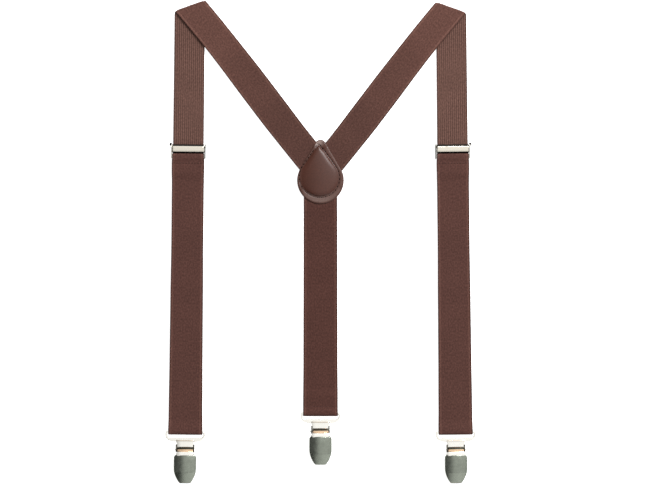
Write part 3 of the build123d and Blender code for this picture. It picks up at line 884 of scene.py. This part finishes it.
def patch_stitches():
    """Places round the raised middle, in the groove."""
    angles = math.pi / 2 + np.linspace(0, 2 * math.pi, 721)
    radius = outline_radius(angles, lambda x, y: dome_distance(x, y) - STITCH_OUT)
    x, y = radius * np.cos(angles), DOME_Y + radius * np.sin(angles)
    lengths = np.concatenate([[0], np.cumsum(np.hypot(np.diff(x), np.diff(y)))])
    count = round(lengths[-1] / STITCH_PITCH)
    places = []
    for at in (np.arange(count) + 0.5) * lengths[-1] / count:
        reach = (at - STITCH_PITCH / 2, at, at + STITCH_PITCH / 2)
        px, py = np.interp(reach, lengths, x), np.interp(reach, lengths, y)
        height = float(patch_top(px, py)[1])
        places.append((px[1], py[1], height, math.atan2(py[2] - py[0], px[2] - px[0])))
    return places


def seam_stitches(width, along, z, point):
    """Places of a row of stitches across a strap."""
    count = int((width - 0.004) / SEAM_PITCH)
    spots = np.linspace(-(width / 2 - 0.0025), width / 2 - 0.0025, count)
    heading = STRAP_LEAN if point is strap_point else 0.0
    return [(*point(np.array(spot), np.array(along), z), heading) for spot in spots]


# ---------------------------------------------------------------- metal
def right_clip_point(x, y, z):
    """Row coordinates of points measured from the bar of the right-hand clip."""
    return strap_point(x, y + FRONT_CLIP_Y, z)


def back_clip_point(x, y, z):
    return back_point(x, y + BACK_CLIP_Y, z)


def rounded_profile(width, thickness, radius, flats=3):
    """(across, height) points round the closed section of a flat bar with round edges, by width."""
    angle = np.radians((0, 25, 50, 72, 90))
    edge = radius * (1 - np.cos(angle))
    rise = thickness / 2 * np.sin(angle)
    middle = np.linspace(edge[-1], width - edge[-1], flats + 2)[1:-1]
    across = np.concatenate([edge, middle, width - edge[::-1]])
    height = np.concatenate([rise, np.full(flats, thickness / 2), rise[::-1]])
    return np.concatenate([across, across[-2:0:-1]]), np.concatenate([height, -height[-2:0:-1]])


def ringed_solid(name, rings, materials, side):
    """A closed form from its rings of points, all with the same number of them."""
    faces = tube_faces(len(rings), len(rings[0]))
    made = build_mesh(name, np.concatenate(rings), faces, materials, side)
    turn_outwards(made)
    return made


def strip_solid(name, stations, half_widths, heights, thickness, radius, place, materials, side):
    """A strip of sheet metal with round edges, from its half width and middle height at each y."""
    rows = []
    for y, half, z in zip(stations, half_widths, heights):
        across, height = rounded_profile(2 * half, thickness, radius)
        rows.append(place(across - half, np.full(len(across), y), z + height))
    return ringed_solid(name, rows, materials, side)


def arc(centre, radius, start, end, count):
    angle = np.radians(np.linspace(start, end, count))
    return np.stack([centre[0] + radius * np.cos(angle), centre[1] + radius * np.sin(angle)], 1)


def line(start, end, count):
    return np.linspace(start, end, count)


def curve(start, control, end, count):
    """A curve that leaves and arrives along the lines to its control point."""
    t = np.linspace(0, 1, count)[:, None]
    start, control, end = (np.array(p, float) for p in (start, control, end))
    return (1 - t) ** 2 * start + 2 * t * (1 - t) * control + t**2 * end


def ring_outlines():
    """Matching points round the outside and the inside of a clip's ring."""
    outer = [
        line((0, 0.0012), (0.0158, 0.0012), 9)[:-1],
        curve((0.0158, 0.0012), (0.0190, 0.0012), (0.0190, -0.0014), 10)[:-1],
        line((0.0190, -0.0014), (0.0190, -0.0032), 4)[:-1],
        curve((0.0190, -0.0032), (0.0180, -0.0092), (0.0098, -0.0094), 16)[:-1],
        line((0.0098, -0.0094), (0, -0.0094), 8),
    ]
    inner = [
        line((0, -0.0012), (0.0158, -0.0012), 9)[:-1],
        curve((0.0158, -0.0012), (0.0171, -0.0012), (0.0171, -0.0021), 10)[:-1],
        line((0.0171, -0.0021), (0.0171, -0.0032), 4)[:-1],
        curve((0.0171, -0.0032), (0.0167, -0.0053), (0.0138, -0.0055), 16)[:-1],
        line((0.0138, -0.0055), (0, -0.0055), 8),
    ]
    outer, inner = np.concatenate(outer), np.concatenate(inner)
    mirrored = (-1, 1)
    return [np.concatenate([half, half[-2:0:-1] * mirrored]) for half in (outer, inner)]


def clip_ring(name, place, side):
    """The ring that the webbing goes round: a flat wire with round edges, broader at its foot."""
    outer, inner = ring_outlines()
    points = []
    for out, within in zip(outer, inner):
        width = float(np.hypot(*(out - within)))
        across, height = rounded_profile(width, 0.0010, 0.00048)
        spot = within + (out - within) * (across / width)[:, None]
        points.append(place(spot[:, 0], spot[:, 1], RING_BAR_Z + height))
    columns = len(points[0])
    faces = ring_faces(len(points) + 1, columns)
    wrap = len(points) * columns
    faces = [tuple(i % wrap for i in face) for face in faces]
    made = build_mesh(name, np.concatenate(points), faces, [NICKEL], side)
    turn_outwards(made)
    return made


SHEET, SHEET_EDGE = 0.0010, 0.00045  # thickness of the clip's steel, and the rounding of its edges
# The bead is painted tan, as the reflection along the bend.
CLIP_BEND = (-0.0088, -0.0079)  # the pressed line where the neck leaves the ring
RIDGES, RIDGE_PITCH = (-0.0435, -0.0265), 0.0026  # across the back jaw


def clip_plate(name, place, side):
    """Neck and back jaw: it leaves the ring at a pressed bead, steps down under the roll and lies flat."""
    profile = [  # y, middle height and half width
        (-0.0074, 0.00285, 0.0084),
        (-0.0078, 0.00290, 0.0087),
        (-0.0083, 0.00305, 0.0088),
        (-0.0088, 0.00290, 0.0088),
        (-0.0096, 0.00285, 0.0087),
        (-0.0112, 0.00285, 0.0079),
        (-0.0140, 0.00285, 0.0078),
        (-0.0145, 0.00270, 0.0078),
        (-0.0147, 0.00120, 0.0078),
        (-0.0152, 0.00060, 0.0078),
        (-0.0195, 0.00050, 0.0078),
        (-0.0215, 0.00050, 0.0090),
        (-0.0235, 0.00050, 0.0099),
        (-0.0366, 0.00050, 0.0099),
        (-0.0395, 0.00050, 0.0094),
        (-0.0425, 0.00050, 0.0081),
        (-0.0455, 0.00050, 0.0063),
        (-0.0481, 0.00050, 0.0044),
    ]
    keys = np.array(profile)[::-1]
    stations = np.concatenate([np.arange(-0.0481, -0.0150, 0.0006), np.arange(-0.0148, -0.0073, 0.0001)])
    half = np.interp(stations, keys[:, 0], keys[:, 2])
    heights = np.interp(stations, keys[:, 0], keys[:, 1])
    ridge = np.cos((stations + 0.035) / RIDGE_PITCH * 2 * math.pi) > 0.6
    heights = heights + 0.00025 * ridge * (stations > RIDGES[0]) * (stations < RIDGES[1])
    made = strip_solid(
        name, stations, half, heights, SHEET, SHEET_EDGE, place, [NICKEL, BEND_REFLECTION_NICKEL], side
    )
    # The bead's faces take the painted tan reflection.
    bead = set(np.flatnonzero((stations > CLIP_BEND[0]) & (stations < CLIP_BEND[1])))
    columns = len(rounded_profile(1.0, SHEET, SHEET_EDGE)[0])
    kinds = [int(p.index // columns in bead) for p in made.data.polygons]
    made.data.polygons.foreach_set("material_index", kinds)
    return made


def flat_plate(name, outline, low, high, place, material, side, bevel=0.00015):
    """A flat plate standing across x, from its (y, z) outline, with small bevels."""
    outline = np.array(outline, float)
    middle = outline.mean(0)
    away = outline - middle
    inset = outline - away / np.linalg.norm(away, axis=1)[:, None] * bevel
    layers = [(inset, low), (outline, low + bevel), (outline, high - bevel), (inset, high)]
    rings = [place(np.full(len(o), x), o[:, 0], o[:, 1]) for o, x in layers]
    return ringed_solid(name, rings, [material], side)


def turned(name, y, z, stations, radii, place, materials, side, around=16):
    """A round solid on an axis across the strap, from its radius at each x."""
    angle = np.linspace(0, 2 * math.pi, around, endpoint=False)
    rings = []
    for x, r in zip(stations, radii):
        rings.append(place(np.full(around, x), y + r * np.cos(angle), z + r * np.sin(angle)))
    return ringed_solid(name, rings, materials, side)


def pin_shape(half, radius):
    """Stations and radii of a pin with domed ends."""
    ends = np.radians((90, 60, 35, 12))
    tip = half - 0.4 * radius + 0.4 * radius * np.sin(ends)
    round_end = np.cos(ends)
    return np.concatenate([-tip, tip[::-1]]), radius * np.concatenate([round_end, round_end[::-1]]) + 1e-6


PIN_Y, PIN_Z = -0.0169, 0.0034


def clip_hardware(label, place, side):
    """The fixed half of a clip: ring, neck and back jaw, ears and pin."""
    ring = clip_ring(f"{label}_clip_ring", place, side)
    plate = clip_plate(f"{label}_clip_plate", place, side)
    over = arc((PIN_Y, PIN_Z), 0.0019, 35, 170, 10)
    towards_ring = [(-0.0120, 0.0004), (-0.0120, 0.0036), (-0.0128, 0.0042)]
    ear_outline = [*towards_ring, *over, (-0.0194, 0.0022), (-0.0195, 0.0004)]
    # The ears take the painted-shade nickel: their dark is a painted reflection.
    ears = [
        flat_plate(f"{label}_clip_ear_{n}", ear_outline, low, high, place, SHADED_NICKEL, side)
        for n, low, high in (("outer", 0.0079, 0.0088), ("inner", -0.0088, -0.0079))
    ]
    stations, radii = pin_shape(0.0100, 0.00072)
    pin = turned(f"{label}_clip_axle", PIN_Y, PIN_Z, stations, radii, place, [NICKEL], side)
    return [ring, plate, *ears, pin]


SHIELD_TIP_Y, SHIELD_TOP_Y = -0.0489, -0.0219
SHIELD_EDGE = np.array((0.0, 0.00006, 0.00018, 0.00036, 0.0006))  # steps over its rounded ends


def shield_half(y):
    """Half width of the shield by y: cut top corners, straight sides and a blunt tip."""
    keys = [
        (SHIELD_TIP_Y, 0.0050),
        (-0.0482, 0.0057),
        (-0.0470, 0.0066),
        (-0.0452, 0.0077),
        (-0.0430, 0.0088),
        (-0.0405, 0.0098),
        (-0.0380, 0.0104),
        (-0.0355, 0.0107),
        (-0.0238, 0.0107),
        (-0.0226, 0.0102),
        (SHIELD_TOP_Y, 0.0094),
    ]
    places, halves = np.array(keys).T
    return np.interp(y, places, halves)


def shield_middle(y):
    """Height of the shield's ridge line: it falls away past the crease, and turns down at both ends."""
    keys = [
        (SHIELD_TIP_Y, 0.0027),
        (-0.0387, 0.0063),
        (-0.0381, 0.0065),
        (-0.0260, 0.0066),
        (SHIELD_TOP_Y, 0.0062),
    ]
    places, heights = np.array(keys).T
    ends = np.clip(np.minimum(y - SHIELD_TIP_Y, SHIELD_TOP_Y - y) / SHIELD_EDGE[-1], 0, 1)
    return np.interp(y, places, heights) - 0.0004 * (1 - np.sqrt(1 - (1 - ends) ** 2))


def clip_shield(name, place, side):
    """The front jaw's shield: crowned across, rolled over at its rim."""
    crown, lip, sheet = 0.026, 0.0008, 0.0008
    share = np.array((0.0, 0.05, 0.12, 0.2, 0.3, 0.42, 0.55, 0.68, 0.79, 0.87, 0.92, 0.95, 0.975, 0.99, 1.0))
    share = np.concatenate([-share[:0:-1], share])
    stations = np.concatenate(
        [
            SHIELD_TIP_Y + SHIELD_EDGE,
            np.arange(-0.0480, -0.0391, 0.0007),
            np.arange(-0.0388, -0.0378, 0.00025),
            np.arange(-0.0372, -0.0228, 0.0008),
            SHIELD_TOP_Y - SHIELD_EDGE[::-1],
        ]
    )
    rows = []
    for y in stations:
        half = float(shield_half(y))
        x = share * half
        rim = np.clip((half - np.abs(x)) / lip, 0, 1)
        fall = lip * 0.9 * (1 - np.sqrt(1 - (1 - rim) ** 2))
        top = float(shield_middle(y)) - x**2 / (2 * crown) - fall
        under = float(shield_middle(y)) - sheet - x[1:-1] ** 2 / (2 * crown) - 0.6 * fall[1:-1]
        under = np.minimum(under, top[1:-1] - 0.00015)
        xs = np.concatenate([x, x[-2:0:-1]])
        rows.append(place(xs, np.full(len(xs), y), np.concatenate([top, under[::-1]])))
    return ringed_solid(name, rows, [SATIN], side)


def clip_moving(label, place, side):
    """The jaw that opens: the barrel on the pin, the bright neck behind it and the shield."""
    shield = clip_shield(f"{label}_clip_shield", place, side)
    half, around = 0.0076, 48
    x = np.linspace(-half, half, 17)
    radii = 0.0018 + 0.0004 * np.cos(x / half * math.pi / 2)
    x = np.concatenate([[-half - 0.00012], x, [half + 0.00012]])
    radii = np.concatenate([[radii[0] - 0.0003], radii, [radii[-1] - 0.0003]])
    # The barrel is painted in two parts: a warm painted reflection below, and painted shade on the ring's
    # side from level with the pin most of the way up.
    lit_and_shaded = [WARM_REFLECTION_NICKEL, SHADED_NICKEL]
    barrel = turned(f"{label}_clip_barrel", PIN_Y, PIN_Z, x, radii, place, lit_and_shaded, side, around)
    shaded_segments = 75 / 360 * around  # from level with the pin, on the ring's side, most of the way up
    kinds = [int(p.index % around < shaded_segments) for p in barrel.data.polygons]
    barrel.data.polygons.foreach_set("material_index", kinds)
    stations = np.linspace(-0.0224, -0.0184, 9)
    heights = np.interp(stations, (-0.0224, -0.0212, -0.0195, -0.0184), (0.0053, 0.0053, 0.0052, 0.0046))
    neck = strip_solid(
        f"{label}_clip_neck", stations, np.full(9, 0.0077), heights, 0.0008, 0.00035, place, [NICKEL], side
    )
    return [shield, barrel, neck]


LEVER_PIN_Y, LEVER_PIN_Z = 0.0906, 0.0040
# Faces marked dark take the painted shadow black: the lips stand in for the shade behind the roll and under
# the plate's end.
LEVER_PROFILE = [  # y, z and finish of the face that starts at the point: 0 bright, 1 dark
    (0.0923, 0.0036, 1),
    (0.0925, 0.0040, 1),
    (0.0921, 0.0045, 1),
    (0.0915, 0.0048, 1),
    (0.0911, 0.0050, 1),
    (0.0908, 0.0053, 0),
    (0.0904, 0.00545, 0),
    (0.0898, 0.0055, 0),
    (0.0890, 0.0054, 0),
    (0.0875, 0.0053, 0),
    (0.0861, 0.0052, 0),
    (0.0857, 0.0050, 1),
    (0.0853, 0.0047, 1),
    (0.0844, 0.0036, 1),
    (0.0841, 0.0029, 1),
    (0.0845, 0.0028, 1),
    (0.0858, 0.0041, 1),
    (0.0870, 0.0044, 0),
    (0.0892, 0.0045, 0),
    (0.0899, 0.0036, 1),
    (0.0902, 0.00285, 1),
    (0.0910, 0.00285, 1),
    (0.0916, 0.0031, 1),
]
TOOTH = [(0.0902, 0.0030), (0.0906, 0.0022), (0.0910, 0.0030)]
TOOTH_PITCH, TOOTH_WIDTH, TEETH = 0.0018, 0.0008, 16


def adjuster_lever(name, side):
    """The lever: a rolled bright plate over dark lips, with a row of teeth under the roll."""
    # The dark lips and the teeth are painted shadow black.
    half, bevel = 0.0150, 0.0002
    outline = np.array([(y, z) for y, z, _ in LEVER_PROFILE])
    middle = outline.mean(0)
    away = (outline - middle) / np.linalg.norm(outline - middle, axis=1)[:, None]
    stations = [(-half, bevel), (-half + bevel, 0), *[(x, 0) for x in np.linspace(-0.014, 0.014, 9)]]
    stations += [(half - bevel, 0), (half, bevel)]
    points = []
    for x, inset in stations:
        ring = outline - away * inset
        points.append(strap_point(np.full(len(ring), x), ring[:, 0], ring[:, 1]))
    columns = len(outline)
    faces = tube_faces(len(stations), columns)
    kinds = [LEVER_PROFILE[j % columns][2] for j in range(len(faces) - 2)] + [0, 0]
    corners = [(0, 2, 3, 1), (2, 4, 5, 3), (4, 0, 1, 5), (0, 4, 2), (1, 3, 5)]
    for x in (np.arange(TEETH) - (TEETH - 1) / 2) * TOOTH_PITCH:
        first = sum(len(p) for p in points)
        tooth = [(x + end * TOOTH_WIDTH / 2, y, z) for y, z in TOOTH for end in (-1, 1)]
        points.append(strap_point(*np.array(tooth).T))
        faces += [tuple(first + i for i in face) for face in corners]
        kinds += [1] * len(corners)
    made = build_mesh(name, np.concatenate(points), faces, [PLATE_NICKEL, SHADOW_BLACK], side)
    made.data.polygons.foreach_set("material_index", kinds)
    turn_outwards(made)
    return made


def adjuster_hardware(label, side):
    """The adjuster's fixed parts: cheeks, floor plate, lower bar and pin, with its knob and corner stud."""
    over = arc((0.0912, 0.0034), 0.0018, 0, 100, 8)
    front = [(0.0808, 0.0052), (0.0797, 0.0048), (0.0790, 0.0040), (0.0790, 0.0006), (0.0795, 0.0)]
    outline = [(0.0930, 0.0), *over, *front]
    made = []
    inside, outside = 0.0156, 0.0164  # faces of each cheek, from the middle of the strap
    # The inner cheek is the painted-shade copy of the outer cheek's bright nickel.
    cheeks = (("outer", inside, outside, NICKEL), ("inner", -outside, -inside, SHADED_NICKEL))
    for part, low, high, finish in cheeks:
        cheek = f"{label}_adjuster_cheek_{part}"
        made.append(flat_plate(cheek, outline, low, high, strap_point, finish, side))
    for part, low, high, z in (("floor", 0.0851, 0.0925, 0.0004), ("bar", 0.0799, 0.0825, 0.0039)):
        stations = np.linspace(low, high, 7)
        halves, heights = np.full(7, 0.0160), np.full(7, z)
        name = f"{label}_adjuster_{part}"
        made.append(strip_solid(name, stations, halves, heights, 0.0008, 0.0003, strap_point, [NICKEL], side))
    # The stud is painted shadow black, standing in for a shaded pin end.
    for part, y, z, x, half, radius, material in (
        ("axle", LEVER_PIN_Y, LEVER_PIN_Z, 0.0, 0.0168, 0.00072, NICKEL),
        ("knob", LEVER_PIN_Y, LEVER_PIN_Z, -0.0172, 0.0007, 0.00095, NICKEL),
        ("stud", 0.0925, 0.0038, 0.0166, 0.0013, 0.00135, SHADOW_BLACK),
    ):
        stations, radii = pin_shape(half, radius)
        name = f"{label}_adjuster_{part}"
        made.append(turned(name, y, z, stations + x, radii, strap_point, [material], side))
    return made


for label, side in SIDES.items():
    shoulder = shoulder_web(f"{label}_shoulder_webbing", side)
    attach(shoulder, "root")
    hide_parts(f"{label}_shoulder_web")

    under = under_web(f"{label}_under_webbing", side)
    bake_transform(under)
    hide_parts(f"{label}_under_run")

    front = front_web(f"{label}_front_webbing", side)
    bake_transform(front)
    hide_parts(f"{label}_clip_loop", f"{label}_front_run", f"{label}_adjuster_loop")

    seam = seam_stitches(RUN_WIDTH, SEWN_SEAM_Y, 0.0047, strap_point)
    sewn = stitching(f"{label}_end_stitches", seam, SEAM_LENGTH, SEAM_PITCH, 0.0, SEAM_THREAD, side)
    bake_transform(sewn)
    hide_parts(f"{label}_end_stitching")

back = back_web("back_webbing")
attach(back, "root")
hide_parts("back_web")
back_seam = seam_stitches(BACK_WIDTH, BACK_SEAM_Y, 0.0028, back_point)
back_sewn = stitching("back_loop_stitches", back_seam, SEAM_LENGTH, SEAM_PITCH, 0.0004, SEAM_THREAD)
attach(back_sewn, "root")
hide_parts("back_loop_stitching")

patch_back = leather_piece("patch_back", back_leather_top, back_leather_under)
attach(patch_back, "root")
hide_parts("patch_back_leather")
patch_front = leather_piece("patch_front", patch_top, patch_under)
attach(patch_front, "root")
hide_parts("patch_front_leather")
patch_pad = layer("patch_pad", pad_rings(), pad_top, pad_under, FELT)
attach(patch_pad, "root")
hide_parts("patch_padding")
patch_sewn = stitching("patch_stitches", patch_stitches(), STITCH_LENGTH, STITCH_PITCH, HOLE_R, THREAD)
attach(patch_sewn, "root")
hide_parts("patch_stitching")

# ---------------------------------------------------------------- make the metal pieces
CLIPS = {"left": (right_clip_point, -1), "right": (right_clip_point, 1), "back": (back_clip_point, 1)}
for label, (place, side) in CLIPS.items():
    fixed = clip_hardware(label, place, side)
    for piece in fixed:
        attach(piece, f"{label}_clip_back")
    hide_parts(f"{label}_clip_frame", f"{label}_clip_pin")
    moving = clip_moving(label, place, side)
    for piece in moving:
        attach(piece, f"{label}_clip_front")
    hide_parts(f"{label}_clip_jaw")

for label, side in SIDES.items():
    fixed = adjuster_hardware(label, side)
    for piece in fixed:
        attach(piece, f"{label}_adjuster")
    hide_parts(f"{label}_adjuster_frame", f"{label}_adjuster_pin")
    lever = adjuster_lever(f"{label}_lever_plate", side)
    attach(lever, f"{label}_lever")
    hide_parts(f"{label}_adjuster_lever")

# ---------------------------------------------------------------- the CAD's own metal and plastic
CAD_FINISH = {"clip_jaw": SATIN, "clip_insert": GRIP}
for name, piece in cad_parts.items():
    finish = next((m for key, m in CAD_FINISH.items() if name.endswith(key)), NICKEL)
    piece.data.materials.clear()
    piece.data.materials.append(finish)

# ---------------------------------------------------------------- floor, light and camera
floor_mesh = bpy.data.meshes.new("floor")
floor_mesh.from_pydata([(-3, -3, 0), (3, -3, 0), (3, 3, 0), (-3, 3, 0)], [], [(0, 1, 2, 3)])
floor = bpy.data.objects.new("floor", floor_mesh)
bpy.context.scene.collection.objects.link(floor)
floor_material, _, floor_shader = new_material("floor_white", Roughness=0.9)
floor_shader.inputs["Base Color"].default_value = (0.88, 0.88, 0.88, 1.0)
floor_shader.inputs["Emission Color"].default_value = (1.0, 1.0, 1.0, 1.0)
floor_shader.inputs["Emission Strength"].default_value = 0.8
floor_mesh.materials.append(floor_material)


def panel(name, place, size, power):
    """A soft rectangular studio light, turned to the middle of the object."""
    light = bpy.data.lights.new(name, "AREA")
    light.shape = "RECTANGLE"
    light.size, light.size_y = size
    light.energy = power
    made = bpy.data.objects.new(name, light)
    made.location = place
    made.rotation_mode = "QUATERNION"
    made.rotation_quaternion = (-Vector(place)).to_track_quat("-Z", "Y")
    bpy.context.scene.collection.objects.link(made)


panel("key", (1.06, 1.59, 1.82), (1.15, 1.15), 81.0)
panel("foot", (0.4, -1.6, 0.8), (2.0, 1.0), 5.0)

world = bpy.data.worlds.new("studio")
bpy.context.scene.world = world
world.use_nodes = True
sky = world.node_tree
direction = node(sky, "TexCoord").outputs["Generated"]
towards = node(sky, "SeparateXYZ", {"Vector": direction}).outputs


def sky_share(axis):
    """0 to 1 for directions from one end of an axis to the other."""
    reach = {"Value": towards[axis], "From Min": -1.0, "From Max": 1.0}
    return node(sky, "MapRange", reach).outputs["Result"]


left_dark = [(0.0, grey(0.15)), (0.3, grey(0.2)), (0.375, grey(0.5)), (0.45, grey(0.97)), (1.0, grey(1.0))]
foot_dim = [(0.0, grey(0.5)), (0.25, grey(0.72)), (0.47, grey(1.0))]
overhead = [(0.0, grey(0.3)), (0.35, grey(0.55)), (0.8, grey(1.0))]
glow = tint(sky, ramp(sky, sky_share("X"), left_dark), ramp(sky, sky_share("Y"), foot_dim))
glow = tint(sky, glow, ramp(sky, towards["Z"], overhead))
sky.links.new(glow, sky.nodes["Background"].inputs["Color"])
sky.nodes["Background"].inputs["Strength"].default_value = 1.1

camera_data = bpy.data.cameras.new("camera")
camera_data.sensor_width = 36.0
camera_data.lens = 94.0
camera_data.clip_start, camera_data.clip_end = 0.05, 20.0
camera = bpy.data.objects.new("camera", camera_data)
camera.location = (0.0019, 0.0, 1.6)
bpy.context.scene.collection.objects.link(camera)
bpy.context.scene.camera = camera
bpy.context.scene.view_settings.view_transform = "Standard"
